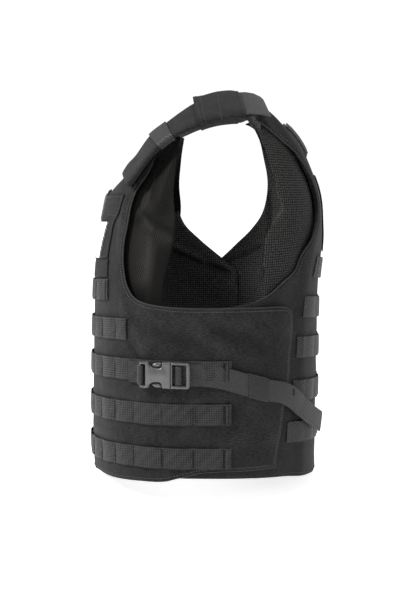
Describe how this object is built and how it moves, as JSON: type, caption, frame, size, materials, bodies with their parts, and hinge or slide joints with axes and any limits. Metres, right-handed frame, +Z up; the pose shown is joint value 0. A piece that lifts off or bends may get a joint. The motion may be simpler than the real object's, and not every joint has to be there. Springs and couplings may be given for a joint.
{
  "type": "stab vest",
  "caption": "Black front-zip stab vest in its worn shape, with webbing rows on chest and back, padded shoulder straps and buckled side straps.",
  "frame": {"origin": "between the shoulders, level with the undersides of the shoulder straps, where the vest hangs on the wearer", "axes": "+Z up, the chest faces -Y and the back +Y, and the wearer's left side is +X"},
  "size_m": [0.4238, 0.296, 0.4878],
  "materials": {
    "shell_fabric": "matt woven nylon, near black",
    "webbing": "ribbed nylon webbing, near black",
    "mesh_lining": "knitted spacer mesh, black",
    "twill_lining": "soft twill, warm near black",
    "loop_pile": "loop pile, black",
    "buckle_plastic": "satin moulded plastic, dark grey",
    "patch": "blank white patch with a matt face",
    "zip": "dark metal with worn bright edges"
  },
  "bodies": {
    "root": {"back_lining": "mesh_lining", "back_loop_panel": "loop_pile", "back_panel": "shell_fabric", "back_webbing_1": "webbing", "back_webbing_2": "webbing", "back_webbing_3": "webbing", "back_webbing_4": "webbing", "back_webbing_5": "webbing", "drag_handle": "webbing", "front_left_lining": "twill_lining", "front_left_panel": "shell_fabric", "front_left_webbing_1": "webbing", "front_left_webbing_2": "webbing", "front_left_webbing_3": "webbing", "front_left_webbing_4": "webbing", "front_left_webbing_5": "webbing", "front_right_lining": "twill_lining", "front_right_panel": "shell_fabric", "front_right_webbing_1": "webbing", "front_right_webbing_2": "webbing", "front_right_webbing_3": "webbing", "front_right_webbing_4": "webbing", "front_right_webbing_5": "webbing", "id_patch": "patch", "left_buckle_body": "buckle_plastic", "left_buckle_plug": "buckle_plastic", "left_buckle_tab": "webbing", "left_chest_loop": "loop_pile", "left_inner_wing": "mesh_lining", "left_loop_strip": "loop_pile", "left_shoulder_keeper": "webbing", "left_shoulder_strap": "shell_fabric", "left_side_strap": "webbing", "left_strap_keeper": "webbing", "left_strap_sleeve": "shell_fabric", "left_strap_tab": "webbing", "right_buckle_body": "buckle_plastic", "right_buckle_plug": "buckle_plastic", "right_buckle_tab": "webbing", "right_chest_loop": "loop_pile", "right_inner_wing": "mesh_lining", "right_loop_strip": "loop_pile", "right_shoulder_keeper": "webbing", "right_shoulder_strap": "shell_fabric", "right_side_strap": "webbing", "right_strap_keeper": "webbing", "right_strap_sleeve": "shell_fabric", "right_strap_tab": "webbing", "zip_chain": "zip", "zip_left_tape": "webbing", "zip_right_tape": "webbing", "zip_slider": "zip"}
  },
  "joints": []
}
